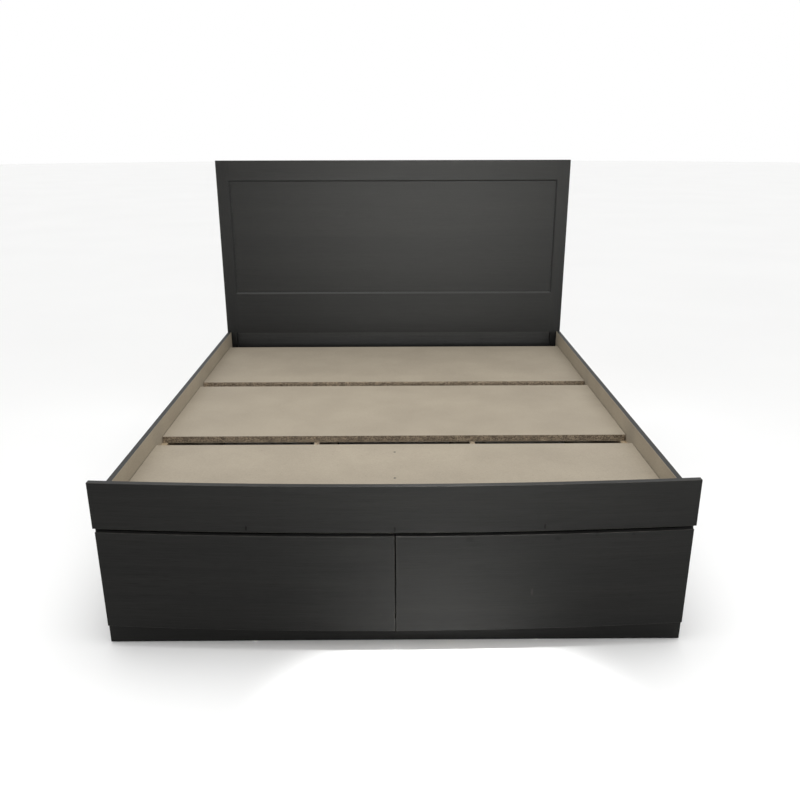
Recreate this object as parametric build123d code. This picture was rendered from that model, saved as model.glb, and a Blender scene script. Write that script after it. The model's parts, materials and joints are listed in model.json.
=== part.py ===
from build123d import *
import math
import os

# Queen-size platform bed: a board box with two foot-end drawers, a bowed apron above them,
# a framed headboard and three loose-laid platform boards.
# Millimetres. +X is right seen from the foot end, +Y runs from foot to head, +Z is up.
# The origin is the middle of the footprint, on the floor.

# Box
carcass_width = 1554.0
carcass_length = 1930.0
rail_top = 428.0
panel_thickness = 16.0
glide_height = 3.0

# Bowed apron and drawer fronts, which share one front curve
apron_width = 1556.0
apron_bottom = 352.0
apron_top = 480.0
apron_thickness = 18.0
bow_depth = 34.0
front_bottom = 64.0
front_top = 342.0
front_thickness = 16.0
front_outer_edge = 773.0
front_centre_gap = 4.0
edge_round = 1.0

# Foot end of the box
plinth_top = 70.0
front_rail_bottom = 285.0
bay_depth = 534.0

# Platform boards, as distances behind the front of the box
board_top = 372.0
board_thickness = 22.0
board_side_gap = 2.0
front_board_span = (18.0, 550.0)
middle_board_span = (632.0, 1216.0)
rear_board_span = (1276.0, 1862.0)
support_offset = 255.0
ledger_width = 18.0
ledger_height = 30.0

# Headboard
headboard_top = 1186.0
headboard_thickness = 24.0
stile_face_width = 52.0
lower_stile_width = 44.0
window_bottom = 606.0
window_top = 1104.0
lower_rail_bottom = 425.0
bevel = 6.0
lip = 2.0
rebate = 12.0
head_end_panel_thickness = 10.0
head_end_panel_bottom = 20.0
head_end_panel_rebate = 8.0

# Drawer boxes
box_board = 12.0
box_bottom = 80.0
box_height = 180.0
box_length = 500.0
groove_depth = 6.0
drawer_bottom_board = 4.0
drawer_bottom_height = 12.0
batten_height = 40.0
batten_end_gap = 12.0

# Packers between the box and the apron
packer_width = 60.0
packer_inset = 10.0
packer_screw_inset = 15.0
packer_screw_bite = 10.0

# Roller runners: distances are measured outwards from the drawer's side face
runner_space = 12.5
runner_length = 500.0
runner_front = 4.0
sheet = 1.2
roller_radius = 8.0
roller_span = (3.0, 9.0)
roller_bore = 2.56
pin_radius = 2.5
collar_radius = 3.5
cabinet_runner_height = 22.0
track_start = 2.5
hood_start = 4.0
track_height = 82.2
flange_height = 100.0
flange_reach = 9.5
shelf_reach = 11.0
roller_clearance = 0.3
front_roller_y = 12.0
rear_roller_y = 488.0

# Fasteners
screw_radius = 2.0
screw_head_radius = 4.0
screw_head_height = 2.0
platform_screw_first = 55.0
platform_screw_pitch = 212.0
platform_screw_count = 3
platform_screw_length = 50.0
runner_screw_shares = (0.15, 0.5, 0.85)
runner_screw_rise = 10.0
runner_screw_length = 8.5
bolt_radius = 3.0
bolt_head_radius = 6.0
bolt_head_height = 4.0
barrel_radius = 5.0
barrel_length = 14.0
bolt_reach = 55.0
bolt_heights = (120.0, 290.0)
dowel_radius = 4.0
dowel_length = 40.0
top_rail_dowel_spread = 15.0
lower_rail_dowel_spread = 60.0
bracket_leg = 40.0
bracket_height = 50.0
bracket_sheet = 2.0
bracket_middle = 200.0
bracket_hole_share = 0.65
bracket_screw_length = 12.0
glide_radius = 7.0
glide_chamfer = 1.0
nail_radius = 1.5
nail_length = 12.0
side_panel_glide_shares = (0.04, 0.35, 0.66, 0.96)
support_glide_shares = (0.45, 0.7, 0.9)

# Planes and spans that follow from the sizes above
overall_length = apron_thickness + bow_depth + carcass_length + headboard_thickness
apron_face = -overall_length / 2
carcass_front = apron_face + apron_thickness + bow_depth
head_plane = carcass_front + carcass_length
headboard_back = head_plane + headboard_thickness
outer_x = carcass_width / 2
inner_x = outer_x - panel_thickness
divider_x = panel_thickness / 2
board_bottom = board_top - board_thickness
bay_back = carcass_front + bay_depth
cross_rear = bay_back + panel_thickness
head_cross_rear = carcass_front + rear_board_span[1]
head_cross_front = head_cross_rear - panel_thickness
bow_radius = ((apron_width / 2) ** 2 + bow_depth ** 2) / (2 * bow_depth)
bow_centre = apron_face + bow_radius
box_top = box_bottom + box_height
drawer_middle = (divider_x + inner_x) / 2
drawer_half_width = (inner_x - divider_x) / 2 - runner_space


def block(x, y, z):
    """A board from its lowest to its highest coordinate on each axis."""
    spans = (x, y, z)
    centre = [(low + high) / 2 for low, high in spans]
    size = [high - low for low, high in spans]
    return Pos(*centre) * Box(*size)


def rod(start, direction, radius, length):
    """A round bar from a point along a direction."""
    plane = Plane(origin=start, z_dir=direction)
    return extrude(plane * Circle(radius), length)


def mirrored(span):
    """The same span on the other side of the bed's centre line."""
    return (-span[1], -span[0])


def sided(span, side):
    """A span of X given for the right side, on the side asked for."""
    return span if side > 0 else mirrored(span)


def round_edges(shape):
    """The slight rounding of a laminated board's edges."""
    return fillet(shape.edges(), edge_round)


def bow_y(x, depth):
    """Where the surface that lies `depth` behind the bowed front face stands at x."""
    return bow_centre - math.sqrt((bow_radius - depth) ** 2 - x ** 2)


def bow_arc(x, depth):
    """The bowed line, `depth` behind the front face, over a span of x."""
    stations = (x[0], (x[0] + x[1]) / 2, x[1])
    return ThreePointArc(*[(station, bow_y(station, depth)) for station in stations])


def bowed_panel(x, thickness, z):
    """A board of constant thickness bent to the front curve."""
    front = bow_arc(x, 0)
    back = bow_arc(x, thickness)
    ends = [Line(front @ end, back @ end) for end in (0, 1)]
    outline = make_face([front, back] + ends)
    return round_edges(Pos(0, 0, z[0]) * extrude(outline, z[1] - z[0], dir=(0, 0, 1)))


def shaped_packer(x, y_back, depth, z):
    """A packer with a flat back and a front that follows the curve `depth` behind the front face."""
    front = bow_arc(x, depth)
    back = Line((x[0], y_back), (x[1], y_back))
    ends = [Line(front @ end, back @ end) for end in (0, 1)]
    outline = make_face([front, back] + ends)
    return Pos(0, 0, z[0]) * extrude(outline, z[1] - z[0], dir=(0, 0, 1))


def screw(head, direction, length):
    """A pan-head screw whose head sits on the surface at `head` and whose shank runs along `direction`."""
    axis = Vector(*direction)
    point = Vector(*head)
    shank = rod(point, axis, screw_radius, length)
    cap = rod(point, axis * -1, screw_head_radius, screw_head_height)
    return shank + cap


def countersunk_screw(head, direction, length):
    """A screw driven along `direction` until its head is flush with the surface at `head`."""
    seat = Plane(origin=head, z_dir=direction)
    cone = Pos(0, 0, screw_head_height / 2) * Cone(screw_head_radius, screw_radius, screw_head_height)
    return rod(head, direction, screw_radius, length) + seat * cone


def glide(x, y):
    """A nail-on nylon glide under a board's lower edge."""
    base = rod((x, y, 0), (0, 0, 1), glide_radius, glide_height)
    base = chamfer(base.edges().sort_by(Axis.Z)[0], glide_chamfer)
    return base + rod((x, y, glide_height), (0, 0, 1), nail_radius, nail_length)


def behind_front(distance):
    """A distance behind the front of the box, as a Y coordinate."""
    return carcass_front + distance


parts = {}

# ---- Box ----
lower_edge = glide_height
full_inside = (-inner_x, inner_x)
side_panel_z = (lower_edge, rail_top)
front_y = (carcass_front, carcass_front + panel_thickness)

for name, side in (("left", -1), ("right", 1)):
    panel = block(sided((inner_x, outer_x), side), (carcass_front, head_plane), side_panel_z)
    top_edges = panel.edges().filter_by(Axis.Y).sort_by(Axis.Z)[-2:]
    parts[f"{name}_side_panel"] = fillet(top_edges, edge_round)

parts["plinth_board"] = block(full_inside, front_y, (lower_edge, plinth_top))
parts["front_rail"] = block(full_inside, front_y, (front_rail_bottom, rail_top))

ledger_z = (board_bottom - ledger_height, board_bottom)
ledger_y = (front_y[1], head_cross_front)
for name, side in (("left", -1), ("right", 1)):
    parts[f"{name}_ledger"] = block(sided((inner_x - ledger_width, inner_x), side), ledger_y, ledger_z)
inside_ledgers = (-inner_x + ledger_width, inner_x - ledger_width)
parts["front_ledger"] = block(inside_ledgers, (front_y[1], front_y[1] + ledger_width), ledger_z)

upright_z = (lower_edge, board_bottom)
divider = block((-divider_x, divider_x), (front_y[1], bay_back), upright_z)
parts["centre_divider"] = divider - parts["front_ledger"]

bay_panel = block(full_inside, (bay_back, cross_rear), upright_z)
parts["bay_back_panel"] = bay_panel - parts["left_ledger"] - parts["right_ledger"]
parts["head_cross_panel"] = block(full_inside, (head_cross_front, head_cross_rear), upright_z)

for name, side in (("left", -1), ("right", 1)):
    middle = side * support_offset
    support_x = (middle - panel_thickness / 2, middle + panel_thickness / 2)
    parts[f"{name}_support_board"] = block(support_x, (cross_rear, head_cross_front), upright_z)

# ---- Platform boards ----
board_x = (-inner_x + board_side_gap, inner_x - board_side_gap)
board_z = (board_bottom, board_top)
spans = {"front": front_board_span, "middle": middle_board_span, "rear": rear_board_span}
for name, span in spans.items():
    board_y = (behind_front(span[0]), behind_front(span[1]))
    parts[f"{name}_platform_board"] = block(board_x, board_y, board_z)

platform_screws = []
for number in range(platform_screw_count):
    screw_y = behind_front(platform_screw_first + number * platform_screw_pitch)
    platform_screws.append(countersunk_screw((0, screw_y, board_top), (0, 0, -1), platform_screw_length))

# ---- Apron ----
parts["footboard_apron"] = bowed_panel(
    (-apron_width / 2, apron_width / 2), apron_thickness, (apron_bottom, apron_top)
)

packer_z = (apron_bottom + packer_inset, rail_top - packer_inset)
packers = []
apron_screws = []
for middle in (-drawer_middle, 0, drawer_middle):
    packer_x = (middle - packer_width / 2, middle + packer_width / 2)
    packers.append(shaped_packer(packer_x, carcass_front, apron_thickness, packer_z))
    for height in (packer_z[0] + packer_screw_inset, packer_z[1] - packer_screw_inset):
        reach = front_y[1] - bow_y(middle, apron_thickness) + packer_screw_bite
        apron_screws.append(screw((middle, front_y[1], height), (0, -1, 0), reach))

# ---- Headboard ----
window_x = outer_x - stile_face_width
inner_window_x = window_x - bevel
recess_x = outer_x - lower_stile_width
panel_face = head_plane + bevel + lip


def headboard_cutter():
    """The bevelled window over the panel, its rebate, and the recess under the lower rail."""
    face_middle = (window_bottom + window_top) / 2
    face_height = window_top - window_bottom
    wide = Rectangle(2 * window_x, face_height)
    narrow = Rectangle(2 * inner_window_x, face_height - 2 * bevel)
    front = Plane(origin=(0, head_plane, face_middle), x_dir=(1, 0, 0), z_dir=(0, -1, 0))
    back = front.offset(-bevel)
    funnel = loft([front * wide, back * narrow])
    inner_z = (window_bottom + bevel, window_top - bevel)
    throat = block((-inner_window_x, inner_window_x), (head_plane + bevel, panel_face), inner_z)
    seat_x = inner_window_x + rebate
    seat_z = (inner_z[0] - rebate, inner_z[1] + rebate)
    seat = block((-seat_x, seat_x), (panel_face, headboard_back), seat_z)
    recess = block((-recess_x, recess_x), (head_plane, headboard_back), (0, lower_rail_bottom))
    return funnel + throat + seat + recess


def head_end_space():
    """The rebate that holds the panel under the lower rail."""
    x = recess_x + head_end_panel_rebate
    y = (headboard_back - head_end_panel_thickness, headboard_back)
    return block((-x, x), y, (head_end_panel_bottom, lower_rail_bottom + head_end_panel_rebate))


cutter = headboard_cutter()
head_end = head_end_space()
head_y = (head_plane, headboard_back)
for name, side in (("left", -1), ("right", 1)):
    stile = block(sided((inner_window_x, outer_x), side), head_y, (lower_edge, headboard_top))
    outer_edges = stile.edges().filter_by(Axis.Z).sort_by(Axis.X)
    outer_edges = outer_edges[-2:] if side > 0 else outer_edges[:2]
    parts[f"headboard_{name}_stile"] = fillet(outer_edges, edge_round) - cutter - head_end
between_stiles = (-inner_window_x, inner_window_x)
top_rail = block(between_stiles, head_y, (window_top - bevel, headboard_top))
top_edges = top_rail.edges().filter_by(Axis.X).sort_by(Axis.Z)[-2:]
parts["headboard_top_rail"] = fillet(top_edges, edge_round) - cutter
lower_rail = block(between_stiles, head_y, (lower_rail_bottom, window_bottom + bevel))
parts["headboard_lower_rail"] = lower_rail - cutter - head_end
panel_x = inner_window_x + rebate
panel_z = (window_bottom + bevel - rebate, window_top - bevel + rebate)
parts["headboard_panel"] = block((-panel_x, panel_x), (panel_face, headboard_back), panel_z)
parts["head_end_panel"] = head_end

dowel_y = head_plane + headboard_thickness / 2
dowels = []
top_rail_centre = (window_top + headboard_top) / 2
lower_rail_centre = (lower_rail_bottom + window_bottom) / 2
rail_dowels = ((top_rail_centre, top_rail_dowel_spread), (lower_rail_centre, lower_rail_dowel_spread))
for side in (-1, 1):
    for centre, spread in rail_dowels:
        for height in (centre - spread, centre + spread):
            start = (side * inner_window_x - dowel_length / 2, dowel_y, height)
            dowels.append(rod(start, (1, 0, 0), dowel_radius, dowel_length))

# ---- Bolts that join the headboard to the side panels ----
bolts = []
barrels = []
bolt_x = (inner_x + outer_x) / 2
for side in (-1, 1):
    for height in bolt_heights:
        head = (side * bolt_x, headboard_back, height)
        shank_length = headboard_thickness + bolt_reach
        shank = rod(head, (0, -1, 0), bolt_radius, shank_length)
        cap = rod(head, (0, -1, 0), bolt_head_radius, bolt_head_height)
        bolts.append(shank + cap)
        barrel_start = (side * inner_x, head_plane - bolt_reach + barrel_radius, height)
        barrels.append(rod(barrel_start, (side, 0, 0), barrel_radius, barrel_length))


# ---- Corner brackets behind the drawer bays ----
def bracket(x_corner, y_corner, x_way, y_way):
    """A steel angle in the corner of two boards, opening towards x_way and y_way."""
    z = (bracket_middle - bracket_height / 2, bracket_middle + bracket_height / 2)
    x_leg = sorted((x_corner, x_corner + x_way * bracket_leg))
    y_leg = sorted((y_corner, y_corner + y_way * bracket_leg))
    x_sheet = sorted((x_corner, x_corner + x_way * bracket_sheet))
    y_sheet = sorted((y_corner, y_corner + y_way * bracket_sheet))
    return block(x_leg, y_sheet, z) + block(x_sheet, y_leg, z)


def bracket_fixings(x_corner, y_corner, x_way, y_way):
    """One screw through each leg of a bracket."""
    hole = bracket_leg * bracket_hole_share
    across = (x_corner + x_way * bracket_sheet, y_corner + y_way * hole, bracket_middle)
    along = (x_corner + x_way * hole, y_corner + y_way * bracket_sheet, bracket_middle)
    return [
        screw(across, (-x_way, 0, 0), bracket_screw_length),
        screw(along, (0, -y_way, 0), bracket_screw_length),
    ]


brackets = []
bracket_screws = []
support_face = support_offset + panel_thickness / 2
for side in (-1, 1):
    for corner_y, y_way in ((cross_rear, 1), (head_cross_front, -1)):
        corners = ((side * inner_x, corner_y, -side, y_way), (side * support_face, corner_y, side, y_way))
        for corner in corners:
            fixings = bracket_fixings(*corner)
            bracket_screws += fixings
            brackets.append(bracket(*corner) - fixings)

# ---- Glides under every upright board ----
glides = []
for side in (-1, 1):
    for share in side_panel_glide_shares:
        glides.append(glide(side * bolt_x, behind_front(carcass_length * share)))
    for share in support_glide_shares:
        glides.append(glide(side * support_offset, behind_front(carcass_length * share)))
    glides.append(glide(side * bolt_x, dowel_y))
    glides.append(glide(side * drawer_middle, carcass_front + panel_thickness / 2))
glides.append(glide(0, carcass_front + bay_depth / 2))


# ---- Drawers and their runners ----
def runner_block(face, way, across, y, z):
    """A length of folded runner sheet, placed outwards from the drawer's side face."""
    return block(sorted(face + way * step for step in across), y, z)


def cabinet_runner(face, way):
    """The runner half on the box: a channel with the pin of the front roller."""
    y = (behind_front(runner_front), behind_front(runner_front + runner_length))
    top = track_height + cabinet_runner_height
    web = runner_block(face, way, (runner_space - sheet, runner_space), y, (track_height - sheet, top))
    track = runner_block(face, way, (track_start, runner_space), y, (track_height - sheet, track_height))
    hood = runner_block(face, way, (hood_start, runner_space), y, (top - sheet, top))
    centre_z = flange_height - roller_clearance - roller_radius
    centre_y = behind_front(front_roller_y)
    start = (face + way * (runner_space - sheet), centre_y, centre_z)
    inward = (-way, 0, 0)
    collar_end = runner_space - sheet - roller_span[1] - roller_clearance / 2
    collar = rod(start, inward, collar_radius, collar_end)
    pin_length = runner_space - sheet - roller_span[0] + roller_clearance / 2
    pin = rod(start, inward, pin_radius, pin_length)
    cap_start = (start[0] - way * pin_length, centre_y, centre_z)
    cap = rod(cap_start, inward, collar_radius, roller_clearance * 2)
    return web + track + hood + collar + pin + cap


def drawer_runner(face, way):
    """The runner half on the drawer: an angle under the side with the pin of the rear roller."""
    y = (behind_front(0), behind_front(box_length))
    web = runner_block(face, way, (0, sheet), y, (box_bottom - sheet, flange_height + sheet))
    shelf = runner_block(face, way, (-shelf_reach, 0), y, (box_bottom - sheet, box_bottom))
    flange = runner_block(face, way, (0, flange_reach), y, (flange_height, flange_height + sheet))
    centre_z = track_height + roller_clearance + roller_radius
    centre_y = behind_front(rear_roller_y)
    start = (face + way * sheet, centre_y, centre_z)
    outward = (way, 0, 0)
    collar = rod(start, outward, collar_radius, roller_span[0] - sheet - roller_clearance / 2)
    pin_length = roller_span[1] - sheet + roller_clearance / 2
    pin = rod(start, outward, pin_radius, pin_length)
    cap_start = (start[0] + way * pin_length, centre_y, centre_z)
    cap = rod(cap_start, outward, collar_radius, roller_clearance * 2)
    return web + shelf + flange + collar + pin + cap


def roller(face, way, y, z):
    """A nylon runner wheel with its bore."""
    start = (face + way * roller_span[0], y, z)
    width = roller_span[1] - roller_span[0]
    outward = (way, 0, 0)
    wheel = rod(start, outward, roller_radius, width)
    return wheel - rod(start, outward, roller_bore, width)


def runner_fixings(face, way):
    """The flush screws that hold a cabinet runner to the box, clear of the rollers that pass them."""
    height = track_height + runner_screw_rise
    x = face + way * (runner_space - sheet)
    heads = [(x, behind_front(runner_length * share), height) for share in runner_screw_shares]
    return [countersunk_screw(head, (way, 0, 0), runner_screw_length) for head in heads]


runner_screws = []
for name, side in (("left", -1), ("right", 1)):
    middle = side * drawer_middle
    box_x = (middle - drawer_half_width, middle + drawer_half_width)
    inside_x = (box_x[0] + box_board, box_x[1] - box_board)
    box_z = (box_bottom, box_top)
    back_y = behind_front(box_length)
    front_board_y = (carcass_front, carcass_front + box_board)
    bottom_z = (box_bottom + drawer_bottom_height, box_bottom + drawer_bottom_height + drawer_bottom_board)
    bottom = block(
        (inside_x[0] - groove_depth, inside_x[1] + groove_depth),
        (front_board_y[1] - groove_depth, back_y - box_board + groove_depth),
        bottom_z,
    )
    front_x = sided((front_centre_gap / 2, front_outer_edge), side)
    front = bowed_panel(front_x, front_thickness, (front_bottom, front_top))
    box_front = block(box_x, front_board_y, box_z) - bottom
    box_back = block(inside_x, (back_y - box_board, back_y), box_z) - bottom

    batten_x = (box_x[0] + batten_end_gap, box_x[1] - batten_end_gap)
    battens = []
    front_screws = []
    for low in (box_bottom + box_board, box_top - box_board - batten_height):
        batten_z = (low, low + batten_height)
        battens.append(shaped_packer(batten_x, carcass_front, front_thickness, batten_z))
        for x in (batten_x[0] + batten_height, middle, batten_x[1] - batten_height):
            reach = front_board_y[1] - bow_y(x, front_thickness) + packer_screw_bite
            height = low + batten_height / 2
            front_screws.append(screw((x, front_board_y[1], height), (0, -1, 0), reach))

    prefix = f"{name}_drawer"
    parts[f"{prefix}_front"] = front - front_screws
    parts[f"{prefix}_battens"] = Compound([batten - front_screws for batten in battens])
    parts[f"{prefix}_box_front"] = box_front - front_screws
    parts[f"{prefix}_box_back"] = box_back
    parts[f"{prefix}_bottom"] = bottom
    parts[f"{prefix}_front_screws"] = Compound(front_screws)

    front_rollers = []
    rear_rollers = []
    for edge, way in (("left", -1), ("right", 1)):
        face = middle + way * drawer_half_width
        side_x = sorted((face, face - way * box_board))
        side_board = block(side_x, (front_board_y[1], back_y), box_z) - bottom
        parts[f"{prefix}_{edge}_side"] = side_board
        fixings = runner_fixings(face, way)
        runner_screws += fixings
        parts[f"{prefix}_{edge}_cabinet_runner"] = cabinet_runner(face, way) - fixings
        parts[f"{prefix}_{edge}_drawer_runner"] = drawer_runner(face, way)
        front_roller_z = flange_height - roller_clearance - roller_radius
        rear_roller_z = track_height + roller_clearance + roller_radius
        front_rollers.append(roller(face, way, behind_front(front_roller_y), front_roller_z))
        rear_rollers.append(roller(face, way, behind_front(rear_roller_y), rear_roller_z))
    parts[f"{prefix}_front_rollers"] = Compound(front_rollers)
    parts[f"{prefix}_rear_rollers"] = Compound(rear_rollers)

# ---- Holes for the fasteners, and the fastener groups ----
holes = {
    "front_platform_board": platform_screws,
    "centre_divider": platform_screws + glides + runner_screws,
    "footboard_apron": apron_screws,
    "front_rail": apron_screws,
    "headboard_left_stile": dowels + bolts + glides,
    "headboard_right_stile": dowels + bolts + glides,
    "headboard_top_rail": dowels,
    "headboard_lower_rail": dowels,
    "left_side_panel": bolts + barrels + bracket_screws + glides + runner_screws,
    "right_side_panel": bolts + barrels + bracket_screws + glides + runner_screws,
    "bay_back_panel": bracket_screws,
    "head_cross_panel": bracket_screws,
    "left_support_board": bracket_screws + glides,
    "right_support_board": bracket_screws + glides,
    "plinth_board": glides,
}
for name, tools in holes.items():
    parts[name] = parts[name] - tools

parts["platform_screws"] = Compound(platform_screws)
parts["apron_spacer_blocks"] = Compound([packer - apron_screws for packer in packers])
parts["apron_screws"] = Compound(apron_screws)
parts["headboard_dowels"] = Compound(dowels)
parts["connector_bolts"] = Compound(bolts)
parts["barrel_nuts"] = Compound([barrel - bolts for barrel in barrels])
parts["corner_brackets"] = Compound(brackets)
parts["bracket_screws"] = Compound(bracket_screws)
parts["floor_glides"] = Compound(glides)
parts["runner_screws"] = Compound(runner_screws)

os.makedirs("parts", exist_ok=True)
for name, shape in parts.items():
    export_step(shape, f"parts/{name}.step")
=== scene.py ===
import json
import math

import bmesh
import bpy
from mathutils import Matrix, Vector


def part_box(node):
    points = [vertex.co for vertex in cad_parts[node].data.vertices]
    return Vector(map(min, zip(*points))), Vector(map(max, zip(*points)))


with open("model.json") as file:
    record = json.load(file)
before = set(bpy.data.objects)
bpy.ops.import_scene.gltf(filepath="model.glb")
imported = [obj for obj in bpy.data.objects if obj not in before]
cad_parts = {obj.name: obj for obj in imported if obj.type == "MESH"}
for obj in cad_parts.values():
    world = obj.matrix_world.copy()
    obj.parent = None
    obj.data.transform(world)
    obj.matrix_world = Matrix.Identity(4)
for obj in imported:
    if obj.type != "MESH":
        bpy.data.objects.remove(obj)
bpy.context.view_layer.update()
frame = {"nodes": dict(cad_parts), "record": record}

RECORD = frame["record"]

# Camera: place in metres and angles in radians in the bed's own frame, sensor and lens in millimetres,
# and the frame's rise as a share of its width
CAMERA_PLACE = Vector((-0.00138, -2.94848, 1.30420))
CAMERA_YAW = 0.0072322
CAMERA_PITCH = 0.3652629
CAMERA_ROLL = -0.0022371
CAMERA_SENSOR = 36.0
CAMERA_LENS = 38.272
CAMERA_RISE = 0.0706

# Surroundings
FLOOR_RADIUS = 40.0
FLOOR_SIDES = 96
FLOOR_COLOUR = (0.93, 0.93, 0.925)
SKY_COLOUR = (1.0, 1.0, 1.0)
SKY_STRENGTH = 1.0

# Soft lights: name, place, target, size (width, height), power in watts and beam angle in degrees
LIGHTS = (
    ("front_fill", (1.3, -6.5, 2.2), (0.2, 0.9, 0.8), (3.0, 2.6), 50.0, 180),
    ("headboard_right", (1.1, -6.5, 1.1), (0.30, 0.98, 0.98), (1.2, 1.2), 7.0, 18),
    ("headboard_left", (-0.8, -6.5, 1.1), (-0.3, 0.98, 0.98), (1.6, 1.2), 4.6, 18),
    ("floor_pool", (0.13, -1.26, 2.6), (0.13, -1.26, 0.0), (0.3, 0.2), 3.6, 17),
    ("overhead", (0.1, -0.4, 3.0), (0.0, -0.4, 0.4), (2.2, 1.8), 10.6, 90),
)

# Grain directions: the axis along the grain, then the axis through the board
GRAIN_X = (0, 1)
GRAIN_Y = (1, 0)
GRAIN_Z = (2, 1)

# Grain patterns: features per metre along the grain, across it and through the board
LAMINATE_BANDS = (0.7, 16.0, 6.0)
LAMINATE_FIBRES = (9.0, 420.0, 40.0)
LAMINATE_STREAKS = (2.2, 95.0, 15.0)
LAMINATE_PORES = (28.0, 900.0, 60.0)
PINE_LINES = (1.6, 120.0, 120.0)
PINE_FIBRES = (14.0, 700.0, 700.0)
PINE_KNOTS = (6.0, 14.0, 14.0)
FOIL_LINES = (2.0, 160.0, 160.0)

# Other drawn-out patterns: features per metre along x, y and z
BOARD_FLAKES = (170.0, 330.0, 250.0)
BOARD_CHIPS = (260.0, 260.0, 520.0)
COATING_RUBS = (60.0, 5.0, 220.0)
ZINC_BRUSHING = (1500.0, 1500.0, 240.0)

# Ranges of a pattern's values that are spread over a range of looks
FULL = (0.0, 1.0)
WIDE = (0.2, 0.8)
USUAL = (0.25, 0.75)
NARROW = (0.3, 0.7)

# Values of a pattern where a mark begins and where it is full
SPECK_START = (0.735, 0.79)
CHIP_RANGE = (0.1, 0.95)
PORE_START = (0.58, 0.70)
WEAR_START = (0.35, 0.7)
LEVEL_START = (0.6, 0.95)
SPOT_EDGE = (1.2, 0.3)
LATEWOOD_START = (0.42, 0.62)
KNOT_EDGE = (0.06, 0.0)
PRINT_START = (0.35, 0.7)
RUB_START = (0.52, 0.75)

# Dark laminate
LAMINATE_DARK = (0.0045, 0.0045, 0.0045)
LAMINATE_LIGHT = (0.0057, 0.0056, 0.0053)
LAMINATE_RUBBED = (0.085, 0.078, 0.068)
# Grey mixed onto upward faces in patches: a painted sheen of the light from above
LAMINATE_TOP_SHEEN = (0.029, 0.029, 0.028)
LAMINATE_BEVEL = (0.017, 0.017, 0.017)
# Colour of bevels that face up: a painted highlight where the ledge catches the light
LAMINATE_LEDGE_HIGHLIGHT = (0.034, 0.034, 0.033)
LAMINATE_GLOSS = 0.148
LAMINATE_TINT = (1.0, 1.0, 0.95)
# How many times lighter the head-end panel's laminate is drawn: painted light that lifts the shade in the
# recess below the headboard's lower rail
HEAD_END_PAINTED_LIGHT = 3.2

# Small marks on the laminate: place along x and z, then half width and half height, in metres
APRON_MARKS = (
    (-0.3785, 0.3640, 0.0030, 0.0080),
    (-0.0010, 0.3625, 0.0030, 0.0085),
    (0.3815, 0.3640, 0.0030, 0.0080),
)
DRAWER_MARKS = (
    (0.191, 0.332, 0.0110, 0.0070),
    (0.417, 0.330, 0.0085, 0.0060),
    (0.517, 0.338, 0.0060, 0.0045),
    (0.614, 0.336, 0.0050, 0.0040),
)
DRAWER_SCRATCH = ((0.358, 0.176, 0.0040, 0.0110),)
PANEL_MARKS = ((-0.205, 0.958, 0.0150, 0.0110),)
APRON_DULLING = 0.65
DRAWER_DULLING = 0.25
PANEL_DULLING = 0.15
SCRATCH_STRENGTH = 0.12

# Raw particle board
BOARD_DARK = (0.290, 0.250, 0.192)
BOARD_LIGHT = (0.332, 0.288, 0.221)
BOARD_SPECK = (0.10, 0.068, 0.042)
CHIP_DARK = (0.106, 0.079, 0.052)
CHIP_LIGHT = (0.405, 0.324, 0.227)
# Cut edges are paler near each face: the board's finer face layers, and along the top arris also a painted
# highlight
SKIN_DEPTH = 0.002
SKIN_AND_HIGHLIGHT_SHARE = 0.6
SIDE_TONE = 1.1
RAW_ROUGHER = 0.27

# Other colours
PINE_PALE = (0.40, 0.32, 0.21)
PINE_TAN = (0.30, 0.215, 0.125)
PINE_KNOT = (0.14, 0.07, 0.03)
FOIL_PALE = (0.60, 0.56, 0.49)
FOIL_TAN = (0.52, 0.475, 0.40)
HARDBOARD_DARK = (0.245, 0.135, 0.068)
HARDBOARD_LIGHT = (0.36, 0.215, 0.115)
COATING_WHITE = (0.80, 0.79, 0.75)
COATING_RUBBED = (0.52, 0.51, 0.48)
ZINC_BLUE = (0.55, 0.56, 0.57)
ZINC_PALE = (0.68, 0.67, 0.62)
BLACKENED_DARK = (0.05, 0.047, 0.042)
BLACKENED_BLOOM = (0.09, 0.086, 0.08)
NYLON_DARK = (0.74, 0.73, 0.68)
NYLON_LIGHT = (0.82, 0.81, 0.77)

# Lowest and highest roughness
LAMINATE_ROUGH = (0.46, 0.52)
BOARD_ROUGH = (0.62, 0.78)
PINE_ROUGH = (0.52, 0.68)
FOIL_ROUGH = (0.42, 0.54)
HARDBOARD_ROUGH = (0.38, 0.52)
COATING_ROUGH = (0.28, 0.48)
ZINC_ROUGH = (0.28, 0.46)
BLACKENED_ROUGH = (0.45, 0.62)
NYLON_ROUGH = (0.42, 0.55)
FLOOR_ROUGH = (0.7, 0.8)

# Relief: strength, and depth in metres
LAMINATE_RELIEF = (0.11, 0.0003)
DIVIDER_RELIEF = (0.16, 0.0003)
BOARD_RELIEF = (0.35, 0.0006)
PINE_RELIEF = (0.25, 0.0004)
FOIL_RELIEF = (0.12, 0.0003)
HARDBOARD_RELIEF = (0.15, 0.0003)
COATING_RELIEF = (0.15, 0.0002)
ZINC_RELIEF = (0.1, 0.0001)
BLACKENED_RELIEF = (0.15, 0.0001)
NYLON_RELIEF = (0.1, 0.0002)

# A normal's largest part: on flat faces, well round an edge, on 45 degree bevels, and between the two
FLAT_PART = 0.99
ROUNDED_PART = 0.90
BEVEL_PART = math.sqrt(0.5)
BEVEL_TOLERANCE = 0.004
PAST_BEVEL = (0.712, 0.74)

# A normal's part along an axis, from not facing that way to facing it
FACING = (0.5, 0.7)
FACING_FULLY = 0.7


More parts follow.
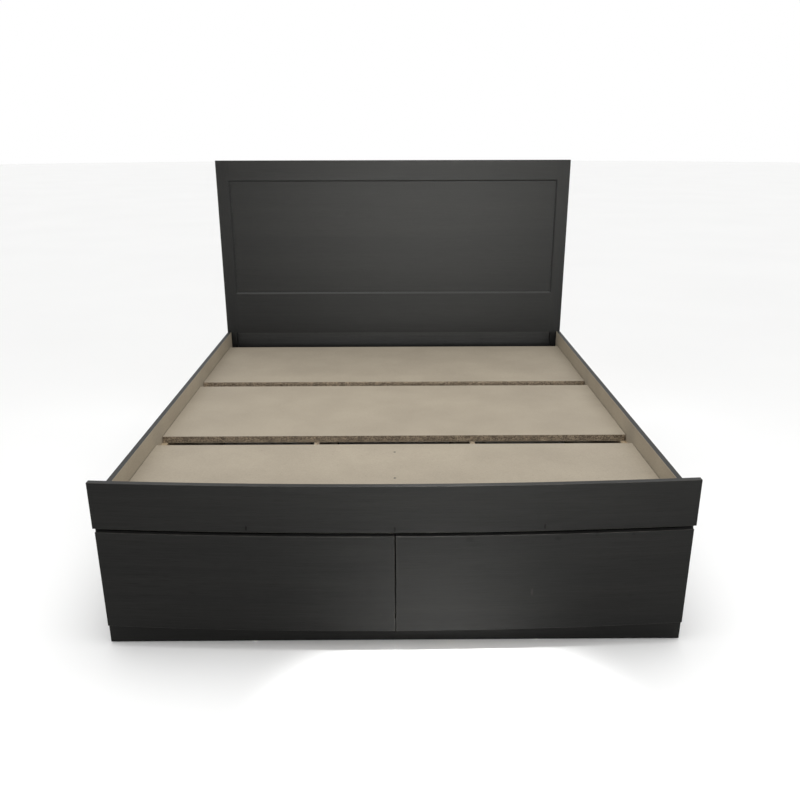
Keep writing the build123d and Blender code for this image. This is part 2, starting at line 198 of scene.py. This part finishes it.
class Nodes:
    """A node tree with one short call for each kind of node that the materials use."""

    def __init__(self, tree):
        self.tree = tree

    def add(self, kind, **settings):
        node = self.tree.nodes.new(kind)
        for key, value in settings.items():
            setattr(node, key, value)
        return node

    def feed(self, socket, value):
        """Links an output to a socket, or sets the socket to a plain value."""
        if isinstance(value, bpy.types.NodeSocket):
            self.tree.links.new(value, socket)
        elif value is not None:
            socket.default_value = value

    def math(self, operation, first, second=None, third=None):
        node = self.add("ShaderNodeMath", operation=operation)
        for socket, value in zip(node.inputs, (first, second, third)):
            self.feed(socket, value)
        return node.outputs[0]

    def absolute(self, vector):
        node = self.add("ShaderNodeVectorMath", operation="ABSOLUTE")
        self.feed(node.inputs[0], vector)
        return node.outputs["Vector"]

    def place(self):
        """A point's place and facing in the object's own space."""
        node = self.add("ShaderNodeTexCoord")
        return node.outputs["Object"], node.outputs["Normal"]

    def split(self, vector):
        node = self.add("ShaderNodeSeparateXYZ")
        self.feed(node.inputs[0], vector)
        return node.outputs[0], node.outputs[1], node.outputs[2]

    def stretch(self, vector, scale, shift=(0, 0, 0)):
        node = self.add("ShaderNodeMapping")
        self.feed(node.inputs["Vector"], vector)
        node.inputs["Location"].default_value = shift
        node.inputs["Scale"].default_value = scale
        return node.outputs[0]

    def noise(self, vector, scale=1.0, detail=2.0, roughness=0.5, distortion=0.0):
        node = self.add("ShaderNodeTexNoise")
        self.feed(node.inputs["Vector"], vector)
        node.inputs["Scale"].default_value = scale
        node.inputs["Detail"].default_value = detail
        node.inputs["Roughness"].default_value = roughness
        node.inputs["Distortion"].default_value = distortion
        return node.outputs[0]

    def cells(self, vector, scale=1.0, output="Color"):
        """Random grains: a Voronoi pattern, as its colour or its distance."""
        node = self.add("ShaderNodeTexVoronoi")
        self.feed(node.inputs["Vector"], vector)
        node.inputs["Scale"].default_value = scale
        return node.outputs[output]

    def span(self, value, low, high, to_low=0.0, to_high=1.0):
        """Maps low..high onto to_low..to_high, clamped."""
        node = self.add("ShaderNodeMapRange")
        for socket, number in zip(node.inputs, (value, low, high, to_low, to_high)):
            self.feed(socket, number)
        return node.outputs[0]

    def mix(self, share, first, second):
        node = self.add("ShaderNodeMix", data_type="RGBA", blend_type="MIX")
        self.feed(node.inputs["Factor"], share)
        for socket, value in ((node.inputs[6], first), (node.inputs[7], second)):
            self.feed(socket, (*value, 1.0) if isinstance(value, tuple) else value)
        return node.outputs[2]

    def tone(self, colour, factor):
        """A colour made lighter or darker by a grey factor."""
        node = self.add("ShaderNodeVectorMath", operation="SCALE")
        if isinstance(colour, tuple):
            node.inputs[0].default_value = colour
        else:
            self.feed(node.inputs[0], colour)
        self.feed(node.inputs["Scale"], factor)
        return node.outputs[0]

    def bump(self, height, strength, distance):
        node = self.add("ShaderNodeBump")
        node.inputs["Strength"].default_value = strength
        node.inputs["Distance"].default_value = distance
        self.feed(node.inputs["Height"], height)
        return node.outputs[0]


def new_material(name, specular=0.5, metallic=0.0, tint=(1.0, 1.0, 1.0)):
    """A material with one Principled shader, its node helper and the shader."""
    material = bpy.data.materials.new(name)
    material.use_nodes = True
    material.node_tree.nodes.clear()
    nodes = Nodes(material.node_tree)
    shader = nodes.add("ShaderNodeBsdfPrincipled")
    output = nodes.add("ShaderNodeOutputMaterial")
    material.node_tree.links.new(shader.outputs[0], output.inputs["Surface"])
    shader.inputs["Specular IOR Level"].default_value = specular
    shader.inputs["Specular Tint"].default_value = (*tint, 1.0)
    shader.inputs["Metallic"].default_value = metallic
    return material, nodes, shader


def seed_shift(seed):
    """Moves a pattern so that boards with different seeds differ."""
    return (seed * 1.37 % 7.0, seed * 2.11 % 7.0, seed * 0.73 % 7.0)


def moved_by(nodes, place, seed):
    """A copy of space that is shifted by its seed."""
    return nodes.stretch(place, (1.0, 1.0, 1.0), seed_shift(seed))


def along_grain(nodes, place, grain, pattern, seed):
    """Space scaled by a grain pattern, with its first scale along the grain axis."""
    along, across, depth = pattern
    scale = [across, across, across]
    scale[grain[0]] = along
    scale[grain[1]] = depth
    return nodes.stretch(place, tuple(scale), seed_shift(seed))


def grain_noise(nodes, place, grain, pattern, seed, **settings):
    """Noise drawn out along the grain."""
    return nodes.noise(along_grain(nodes, place, grain, pattern, seed), **settings)


def largest_part(nodes, normal):
    """The largest of a normal's three parts, 1 where it lies along an axis."""
    x, y, z = nodes.split(nodes.absolute(normal))
    return nodes.math("MAXIMUM", nodes.math("MAXIMUM", x, y), z)


def edge_mask(nodes, normal):
    """1 on the small rounded edges of a board, 0 on its flat faces and on its 45 degree bevels."""
    largest = largest_part(nodes, normal)
    off_flat = nodes.span(largest, FLAT_PART, ROUNDED_PART)
    return nodes.math("MULTIPLY", off_flat, nodes.span(largest, *PAST_BEVEL))


def bevel_mask(nodes, normal):
    """1 on 45 degree bevels, 0 elsewhere."""
    return nodes.math("COMPARE", largest_part(nodes, normal), BEVEL_PART, BEVEL_TOLERANCE)


def flat_board_colours(nodes, place, seed):
    """Raw particle board: colour of its sanded faces, colour of its cut edges, and both patterns."""
    moved = moved_by(nodes, place, seed)
    cloud = nodes.noise(moved, scale=5.0, detail=3.0, roughness=0.55)
    flakes = nodes.noise(nodes.stretch(moved, BOARD_FLAKES), roughness=0.6)
    grains = nodes.split(nodes.cells(moved, scale=520.0))[0]
    specks = nodes.span(nodes.noise(moved, scale=240.0, detail=1.0), *SPECK_START)
    face = nodes.mix(nodes.span(cloud, *NARROW), BOARD_DARK, BOARD_LIGHT)
    face = nodes.tone(face, nodes.span(flakes, *USUAL, 0.91, 1.09))
    face = nodes.tone(face, nodes.span(grains, *FULL, 0.95, 1.05))
    face = nodes.mix(nodes.math("MULTIPLY", specks, 0.55), face, BOARD_SPECK)
    chip = nodes.split(nodes.cells(nodes.stretch(moved, BOARD_CHIPS)))[1]
    cut = nodes.mix(nodes.span(chip, *CHIP_RANGE), CHIP_DARK, CHIP_LIGHT)
    cut = nodes.tone(cut, nodes.span(nodes.noise(moved, scale=38.0), *NARROW, 0.75, 1.15))
    return face, cut, chip, flakes


def particle_board(name, face_axis, seed):
    """Raw particle board whose sanded faces look along face_axis, with paler skins on its cut edges, the
    board's finer face layers, that along the top arris also act as a painted highlight.
    """
    material, nodes, shader = new_material(name, specular=0.3)
    place, normal = nodes.place()
    face, cut, chip, flakes = flat_board_colours(nodes, place, seed)
    low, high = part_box(name)
    middle = (low[face_axis] + high[face_axis]) / 2
    half = (high[face_axis] - low[face_axis]) / 2
    depth = nodes.math("ABSOLUTE", nodes.math("SUBTRACT", nodes.split(place)[face_axis], middle))
    # Paler band near each face of a cut edge: finer face layers, and along the top arris a painted
    # highlight
    skin_and_highlight = nodes.span(depth, half - SKIN_DEPTH, half - 0.3 * SKIN_DEPTH, 0.0, SKIN_AND_HIGHLIGHT_SHARE)
    cut = nodes.mix(skin_and_highlight, cut, face)
    facing = nodes.split(nodes.absolute(normal))[face_axis]
    on_face = nodes.span(facing, *FACING)
    nodes.feed(shader.inputs["Base Color"], nodes.mix(on_face, cut, face))
    nodes.feed(shader.inputs["Roughness"], nodes.span(flakes, *WIDE, *BOARD_ROUGH))
    rough_cut = nodes.math("MULTIPLY", chip, nodes.math("SUBTRACT", 1.0, on_face))
    height = nodes.math("ADD", rough_cut, nodes.math("MULTIPLY", flakes, 0.25))
    nodes.feed(shader.inputs["Normal"], nodes.bump(height, *BOARD_RELIEF))
    return material


def laminate_colours(nodes, place, grain, seed):
    """Black-brown printed wood grain: its colour, roughness, pressed-in relief and share of shine."""
    wavy = {"detail": 3.0, "roughness": 0.55, "distortion": 0.4}
    bands = grain_noise(nodes, place, grain, LAMINATE_BANDS, seed, **wavy)
    fibres = grain_noise(nodes, place, grain, LAMINATE_FIBRES, seed, detail=3.0, roughness=0.6)
    streaks = grain_noise(nodes, place, grain, LAMINATE_STREAKS, seed + 3, distortion=0.3)
    pores = grain_noise(nodes, place, grain, LAMINATE_PORES, seed + 5, detail=1.0)
    pore = nodes.span(pores, *PORE_START)
    tone = nodes.span(bands, *USUAL, 0.90, 1.12)
    tone = nodes.math("MULTIPLY", tone, nodes.span(streaks, *USUAL, 0.88, 1.12))
    tone = nodes.math("MULTIPLY", tone, nodes.span(fibres, *WIDE, 0.70, 1.30))
    tone = nodes.math("MULTIPLY", tone, nodes.span(pore, *FULL, 1.0, 0.5))
    colour = nodes.mix(nodes.span(bands, *NARROW), LAMINATE_DARK, LAMINATE_LIGHT)
    colour = nodes.tone(colour, tone)
    roughness = nodes.span(streaks, *WIDE, *LAMINATE_ROUGH)
    roughness = nodes.math("ADD", roughness, nodes.span(fibres, *WIDE, -0.03, 0.03))
    height = nodes.math("SUBTRACT", nodes.math("MULTIPLY", fibres, 0.6), nodes.math("MULTIPLY", pore, 0.5))
    shine = nodes.span(streaks, *USUAL, 0.92, 1.0)
    shine = nodes.math("MULTIPLY", shine, nodes.span(fibres, *WIDE, 0.78, 1.0))
    return colour, roughness, height, shine


def worn_with_painted_sheen(nodes, place, normal, colour, seed):
    """Laminate with rubbed, lighter edges, bevels a little paler, bevels that face up paler still as a
    painted highlight, and level top edges greyed in patches as a painted sheen.
    """
    # Bevels get their paler colour, and bevels that face up get the ledge colour as a painted highlight
    bevel_with_ledge_highlight = nodes.mix(nodes.span(nodes.split(normal)[2], *FACING), LAMINATE_BEVEL, LAMINATE_LEDGE_HIGHLIGHT)
    colour = nodes.mix(bevel_mask(nodes, normal), colour, bevel_with_ledge_highlight)
    patchy = nodes.noise(moved_by(nodes, place, seed + 9), scale=22.0, detail=3.0, roughness=0.65)
    wear = nodes.math("MULTIPLY", edge_mask(nodes, normal), nodes.span(patchy, *WEAR_START, 0.15, 0.75))
    # Level faces that look up are greyed in patches: a painted sheen of the light from above
    level = nodes.span(nodes.split(normal)[2], *LEVEL_START)
    painted_top_sheen = nodes.math("MULTIPLY", level, nodes.span(patchy, *NARROW, 0.75, 1.0))
    return nodes.mix(painted_top_sheen, nodes.mix(wear, colour, LAMINATE_RUBBED), LAMINATE_TOP_SHEEN)


def spots(nodes, place, marks, seed):
    """1 inside small ragged oval marks on an upright face, 0 elsewhere."""
    x, _, z = nodes.split(place)
    ragged = nodes.noise(moved_by(nodes, place, seed), scale=260.0, roughness=0.6)
    ragged = nodes.span(ragged, *NARROW, -0.45, 0.45)
    total = None
    for centre_x, centre_z, half_x, half_z in marks:
        across = nodes.math("DIVIDE", nodes.math("SUBTRACT", x, centre_x), half_x)
        upward = nodes.math("DIVIDE", nodes.math("SUBTRACT", z, centre_z), half_z)
        squares = nodes.math("ADD", nodes.math("POWER", across, 2.0), nodes.math("POWER", upward, 2.0))
        spot = nodes.span(nodes.math("ADD", squares, ragged), *SPOT_EDGE)
        total = spot if total is None else nodes.math("MAXIMUM", total, spot)
    return total


def dulled(nodes, value, mask, share):
    """A value made less by a share where the mask is 1."""
    return nodes.math("MULTIPLY", value, nodes.span(mask, *FULL, 1.0, 1.0 - share))


def laminate(name, grain, seed, marks=(), dulling=0.0, scratches=()):
    """Dark laminate all round, with dull marks and pale scratches."""
    material, nodes, shader = new_material(name, specular=LAMINATE_GLOSS, tint=LAMINATE_TINT)
    place, normal = nodes.place()
    colour, roughness, height, shine = laminate_colours(nodes, place, grain, seed)
    colour = worn_with_painted_sheen(nodes, place, normal, colour, seed)
    if marks:
        dull = spots(nodes, place, marks, seed)
        colour = nodes.tone(colour, nodes.span(dull, *FULL, 1.0, 1.0 - dulling))
        shine = dulled(nodes, shine, dull, dulling)
    if scratches:
        pale = nodes.math("MULTIPLY", spots(nodes, place, scratches, seed + 1), SCRATCH_STRENGTH)
        colour = nodes.mix(pale, colour, LAMINATE_RUBBED)
    nodes.feed(shader.inputs["Base Color"], colour)
    nodes.feed(shader.inputs["Specular Tint"], nodes.tone(LAMINATE_TINT, shine))
    nodes.feed(shader.inputs["Roughness"], roughness)
    nodes.feed(shader.inputs["Normal"], nodes.bump(height, *LAMINATE_RELIEF))
    return material


def laminate_outside(name, grain, seed, inner, marks=(), pale=1.0):
    """Laminate on the shown faces and raw particle board on the others.

    `inner` takes the nodes, place and normal, and gives 1 where the board is raw.
    `pale` makes the print that many times lighter, as painted light that lifts the shade on a recessed
    panel.
    """
    material, nodes, shader = new_material(name, specular=LAMINATE_GLOSS, tint=LAMINATE_TINT)
    place, normal = nodes.place()
    colour, roughness, height, shine = laminate_colours(nodes, place, grain, seed)
    colour = worn_with_painted_sheen(nodes, place, normal, colour, seed)
    # A pale factor above 1 is painted light, lifting the shade on a recessed panel
    if pale != 1.0:
        colour = nodes.tone(colour, pale)
    if marks:
        shine = dulled(nodes, shine, spots(nodes, place, marks, seed), PANEL_DULLING)
    face, _, _, flakes = flat_board_colours(nodes, place, seed)
    raw = inner(nodes, place, normal)
    nodes.feed(shader.inputs["Base Color"], nodes.mix(raw, colour, nodes.tone(face, SIDE_TONE)))
    nodes.feed(shader.inputs["Specular Tint"], nodes.tone(LAMINATE_TINT, shine))
    raw_rough = nodes.math("MULTIPLY", raw, RAW_ROUGHER)
    nodes.feed(shader.inputs["Roughness"], nodes.math("ADD", roughness, raw_rough))
    raw_height = nodes.math("MULTIPLY", nodes.math("MULTIPLY", flakes, raw), 0.4)
    height = nodes.math("ADD", height, raw_height)
    nodes.feed(shader.inputs["Normal"], nodes.bump(height, *LAMINATE_RELIEF))
    return material


def faces_the_middle(nodes, place, normal):
    """1 on the faces of a side panel that look towards the bed's centre line."""
    product = nodes.math("MULTIPLY", nodes.split(place)[0], nodes.split(normal)[0])
    return nodes.math("LESS_THAN", product, -0.4)


def faces_the_wall(nodes, place, normal):
    """1 on the faces that look towards the head end."""
    return nodes.math("GREATER_THAN", nodes.split(normal)[1], FACING_FULLY)


def divider_board(name, seed):
    """Raw particle board whose front edge is banded with the dark laminate."""
    material, nodes, shader = new_material(name, specular=LAMINATE_GLOSS, tint=LAMINATE_TINT)
    place, normal = nodes.place()
    colour, roughness, height, _ = laminate_colours(nodes, place, GRAIN_Z, seed)
    face, cut, _, flakes = flat_board_colours(nodes, place, seed)
    x, y, _ = nodes.split(normal)
    sideways = nodes.span(nodes.math("ABSOLUTE", x), *FACING)
    banded = nodes.math("LESS_THAN", y, -FACING_FULLY)
    nodes.feed(shader.inputs["Base Color"], nodes.mix(banded, nodes.mix(sideways, cut, face), colour))
    raw_rough = nodes.math("MULTIPLY", nodes.math("SUBTRACT", 1.0, banded), RAW_ROUGHER)
    nodes.feed(shader.inputs["Roughness"], nodes.math("ADD", roughness, raw_rough))
    height = nodes.math("ADD", height, flakes)
    nodes.feed(shader.inputs["Normal"], nodes.bump(height, *DIVIDER_RELIEF))
    return material


def softwood(name, grain, seed):
    """Planed pine: pale earlywood, tan latewood lines and a few pin knots."""
    material, nodes, shader = new_material(name, specular=0.3)
    place, _ = nodes.place()
    lines = grain_noise(nodes, place, grain, PINE_LINES, seed, distortion=0.6)
    fibres = grain_noise(nodes, place, grain, PINE_FIBRES, seed, roughness=0.6)
    knots = nodes.cells(along_grain(nodes, place, grain, PINE_KNOTS, seed), output="Distance")
    colour = nodes.mix(nodes.span(lines, *LATEWOOD_START), PINE_PALE, PINE_TAN)
    colour = nodes.tone(colour, nodes.span(fibres, *WIDE, 0.88, 1.10))
    colour = nodes.mix(nodes.span(knots, *KNOT_EDGE), colour, PINE_KNOT)
    nodes.feed(shader.inputs["Base Color"], colour)
    nodes.feed(shader.inputs["Roughness"], nodes.span(fibres, *WIDE, *PINE_ROUGH))
    nodes.feed(shader.inputs["Normal"], nodes.bump(fibres, *PINE_RELIEF))
    return material


def drawer_board(name, grain, seed):
    """Pale foil-faced drawer board with a faint printed grain."""
    material, nodes, shader = new_material(name, specular=0.4)
    place, _ = nodes.place()
    faint = {"detail": 3.0, "roughness": 0.6, "distortion": 0.3}
    lines = grain_noise(nodes, place, grain, FOIL_LINES, seed, **faint)
    cloud = nodes.noise(place, scale=6.0)
    colour = nodes.mix(nodes.span(lines, *PRINT_START), FOIL_PALE, FOIL_TAN)
    colour = nodes.tone(colour, nodes.span(cloud, *NARROW, 0.95, 1.04))
    nodes.feed(shader.inputs["Base Color"], colour)
    nodes.feed(shader.inputs["Roughness"], nodes.span(lines, *WIDE, *FOIL_ROUGH))
    nodes.feed(shader.inputs["Normal"], nodes.bump(lines, *FOIL_RELIEF))
    return material


def hardboard(name, seed):
    """Brown hardboard, a felt of fine pressed fibres."""
    material, nodes, shader = new_material(name, specular=0.35)
    place, _ = nodes.place()
    moved = moved_by(nodes, place, seed)
    felt = nodes.noise(moved, scale=420.0, detail=3.0, roughness=0.65, distortion=1.2)
    cloud = nodes.noise(moved, scale=7.0, detail=3.0, roughness=0.55)
    colour = nodes.mix(nodes.span(felt, *NARROW), HARDBOARD_DARK, HARDBOARD_LIGHT)
    colour = nodes.tone(colour, nodes.span(cloud, *NARROW, 0.9, 1.08))
    nodes.feed(shader.inputs["Base Color"], colour)
    nodes.feed(shader.inputs["Roughness"], nodes.span(felt, *WIDE, *HARDBOARD_ROUGH))
    nodes.feed(shader.inputs["Normal"], nodes.bump(felt, *HARDBOARD_RELIEF))
    return material


def coated_steel(name):
    """White epoxy-coated sheet with a slight orange peel, rubbed grey in places."""
    material, nodes, shader = new_material(name, specular=0.5)
    place, _ = nodes.place()
    peel = nodes.noise(place, scale=900.0)
    rub = nodes.noise(nodes.stretch(place, COATING_RUBS), detail=3.0, roughness=0.6)
    colour = nodes.mix(nodes.span(rub, *RUB_START, 0.0, 0.55), COATING_WHITE, COATING_RUBBED)
    nodes.feed(shader.inputs["Base Color"], colour)
    nodes.feed(shader.inputs["Roughness"], nodes.span(rub, 0.3, 0.8, *COATING_ROUGH))
    nodes.feed(shader.inputs["Normal"], nodes.bump(peel, *COATING_RELIEF))
    return material


def zinc(name):
    """Zinc-plated steel with a cloudy bluish passivation."""
    material, nodes, shader = new_material(name, metallic=1.0)
    place, _ = nodes.place()
    cloud = nodes.noise(place, scale=260.0, detail=3.0, roughness=0.6)
    brushed = nodes.noise(nodes.stretch(place, ZINC_BRUSHING), roughness=0.6)
    nodes.feed(shader.inputs["Base Color"], nodes.mix(nodes.span(cloud, *NARROW), ZINC_BLUE, ZINC_PALE))
    nodes.feed(shader.inputs["Roughness"], nodes.span(cloud, *USUAL, *ZINC_ROUGH))
    nodes.feed(shader.inputs["Normal"], nodes.bump(brushed, *ZINC_RELIEF))
    return material


def blackened_steel(name):
    """Phosphated screw steel, dull black with a faint grey bloom."""
    material, nodes, shader = new_material(name, metallic=1.0)
    place, _ = nodes.place()
    bloom = nodes.noise(place, scale=520.0, detail=3.0, roughness=0.6)
    nodes.feed(shader.inputs["Base Color"], nodes.mix(bloom, BLACKENED_DARK, BLACKENED_BLOOM))
    nodes.feed(shader.inputs["Roughness"], nodes.span(bloom, *USUAL, *BLACKENED_ROUGH))
    nodes.feed(shader.inputs["Normal"], nodes.bump(bloom, *BLACKENED_RELIEF))
    return material


def nylon(name):
    """Moulded nylon: milky, matt, with faint flow marks."""
    material, nodes, shader = new_material(name, specular=0.45)
    place, _ = nodes.place()
    flow = nodes.noise(place, scale=160.0, distortion=1.5)
    nodes.feed(shader.inputs["Base Color"], nodes.mix(nodes.span(flow, *NARROW), NYLON_DARK, NYLON_LIGHT))
    nodes.feed(shader.inputs["Roughness"], nodes.span(flow, *USUAL, *NYLON_ROUGH))
    nodes.feed(shader.inputs["Normal"], nodes.bump(flow, *NYLON_RELIEF))
    return material


def paint(node, material):
    """Gives a CAD node its finish."""
    shape = frame["nodes"][node]
    if not shape.material_slots:
        shape.data.materials.append(material)
    for material_slot in shape.material_slots:
        material_slot.material = material


def finish_bed_frame():
    """The finishes of the frame and the platform boards, each board with a seed of its own."""
    for seed, side in enumerate(("left", "right")):
        name = f"{side}_side_panel"
        paint(name, laminate_outside(name, GRAIN_Y, seed + 1, faces_the_middle))
        paint(f"{side}_ledger", softwood(f"{side}_ledger", GRAIN_Y, seed + 3))
        support = f"{side}_support_board"
        paint(support, particle_board(support, 0, seed + 5))
    for seed, name in enumerate(("plinth_board", "front_rail")):
        paint(name, laminate(name, GRAIN_X, seed + 11))
    paint("footboard_apron", laminate("footboard_apron", GRAIN_X, 13, APRON_MARKS, APRON_DULLING))
    for seed, name in enumerate(("headboard_top_rail", "headboard_lower_rail")):
        paint(name, laminate_outside(name, GRAIN_X, seed + 21, faces_the_wall))
    name = "headboard_panel"
    paint(name, laminate_outside(name, GRAIN_X, 23, faces_the_wall, PANEL_MARKS))
    # The head-end panel is drawn paler: painted light in its shaded recess
    name = "head_end_panel"
    paint(name, laminate_outside(name, GRAIN_X, 27, faces_the_wall, pale=HEAD_END_PAINTED_LIGHT))
    for seed, name in enumerate(("headboard_left_stile", "headboard_right_stile")):
        paint(name, laminate_outside(name, GRAIN_Z, seed + 31, faces_the_wall))
    for seed, name in enumerate(("bay_back_panel", "head_cross_panel")):
        paint(name, particle_board(name, 1, seed + 41))
    paint("centre_divider", divider_board("centre_divider", 45))
    for seed, name in enumerate(("front", "middle", "rear")):
        board = f"{name}_platform_board"
        paint(board, particle_board(board, 2, seed + 51))
    paint("front_ledger", softwood("front_ledger", GRAIN_X, 57))
    paint("apron_spacer_blocks", softwood("apron_spacer_blocks", GRAIN_X, 58))
    paint("headboard_dowels", softwood("headboard_dowels", GRAIN_X, 59))


def finish_drawers():
    """The finishes of the two drawers, again with a seed for each kind of board."""
    paint("left_drawer_front", laminate("left_drawer_front", GRAIN_X, 61))
    right_front = laminate("right_drawer_front", GRAIN_X, 62, DRAWER_MARKS, DRAWER_DULLING, DRAWER_SCRATCH)
    paint("right_drawer_front", right_front)
    for seed, side in enumerate(("left", "right")):
        prefix = f"{side}_drawer"
        paint(f"{prefix}_battens", softwood(f"{prefix}_battens", GRAIN_X, seed + 63))
        for end in ("box_front", "box_back"):
            paint(f"{prefix}_{end}", drawer_board(f"{prefix}_{end}", GRAIN_X, seed + 65))
        for edge in ("left_side", "right_side"):
            paint(f"{prefix}_{edge}", drawer_board(f"{prefix}_{edge}", GRAIN_Y, seed + 67))
        paint(f"{prefix}_bottom", hardboard(f"{prefix}_bottom", seed + 69))


def finish_hardware():
    """The finishes that all the metal and nylon pieces share."""
    shared = {
        "coated_runner": coated_steel("coated_steel"),
        "zinc_steel": zinc("zinc"),
        "black_steel": blackened_steel("black_steel"),
        "nylon": nylon("nylon"),
    }
    for part in RECORD["subparts"]:
        if part["material_slot"] in shared:
            paint(part["node"], shared[part["material_slot"]])


def make_floor():
    """A wide pale floor, lightly mottled."""
    mesh = bpy.data.meshes.new("studio_floor")
    form = bmesh.new()
    bmesh.ops.create_circle(form, cap_ends=True, segments=FLOOR_SIDES, radius=FLOOR_RADIUS)
    form.to_mesh(mesh)
    form.free()
    floor = bpy.data.objects.new("studio_floor", mesh)
    bpy.context.scene.collection.objects.link(floor)
    material, nodes, shader = new_material("floor_paint", specular=0.2)
    place, _ = nodes.place()
    cloud = nodes.noise(place, scale=0.8, detail=3.0)
    colour = nodes.tone(FLOOR_COLOUR, nodes.span(cloud, *NARROW, 0.99, 1.01))
    nodes.feed(shader.inputs["Base Color"], colour)
    nodes.feed(shader.inputs["Roughness"], nodes.span(cloud, *NARROW, *FLOOR_ROUGH))
    mesh.materials.append(material)


def make_sky():
    """An even white surround."""
    world = bpy.data.worlds.new("studio")
    world.use_nodes = True
    background = world.node_tree.nodes["Background"]
    background.inputs["Color"].default_value = (*SKY_COLOUR, 1.0)
    background.inputs["Strength"].default_value = SKY_STRENGTH
    bpy.context.scene.world = world


def soft_light(name, place, target, size, power, beam):
    """A rectangular soft light, aimed from its place at its target."""
    light = bpy.data.lights.new(name, "AREA")
    light.shape = "RECTANGLE"
    light.size, light.size_y = size
    light.energy = power
    light.spread = math.radians(beam)
    lamp = bpy.data.objects.new(name, light)
    lamp.location = place
    aim = Vector(target) - Vector(place)
    lamp.rotation_euler = aim.to_track_quat("-Z", "Y").to_euler()
    bpy.context.scene.collection.objects.link(lamp)


def make_camera():
    """The camera at the foot of the bed, looking down at it."""
    data = bpy.data.cameras.new("camera")
    data.sensor_width = CAMERA_SENSOR
    data.lens = CAMERA_LENS
    data.shift_y = CAMERA_RISE
    camera = bpy.data.objects.new("camera", data)
    turn = Matrix.Rotation(-CAMERA_YAW, 4, "Z")
    tilt = Matrix.Rotation(math.pi / 2 - CAMERA_PITCH, 4, "X")
    roll = Matrix.Rotation(CAMERA_ROLL, 4, "Z")
    camera.matrix_world = Matrix.Translation(CAMERA_PLACE) @ turn @ tilt @ roll
    bpy.context.scene.collection.objects.link(camera)
    bpy.context.scene.camera = camera


finish_bed_frame()
finish_drawers()
finish_hardware()
make_floor()
make_sky()
for light_facts in LIGHTS:
    soft_light(*light_facts)
make_camera()
bpy.context.scene.view_settings.view_transform = "Standard"
bpy.context.scene.view_settings.look = "None"
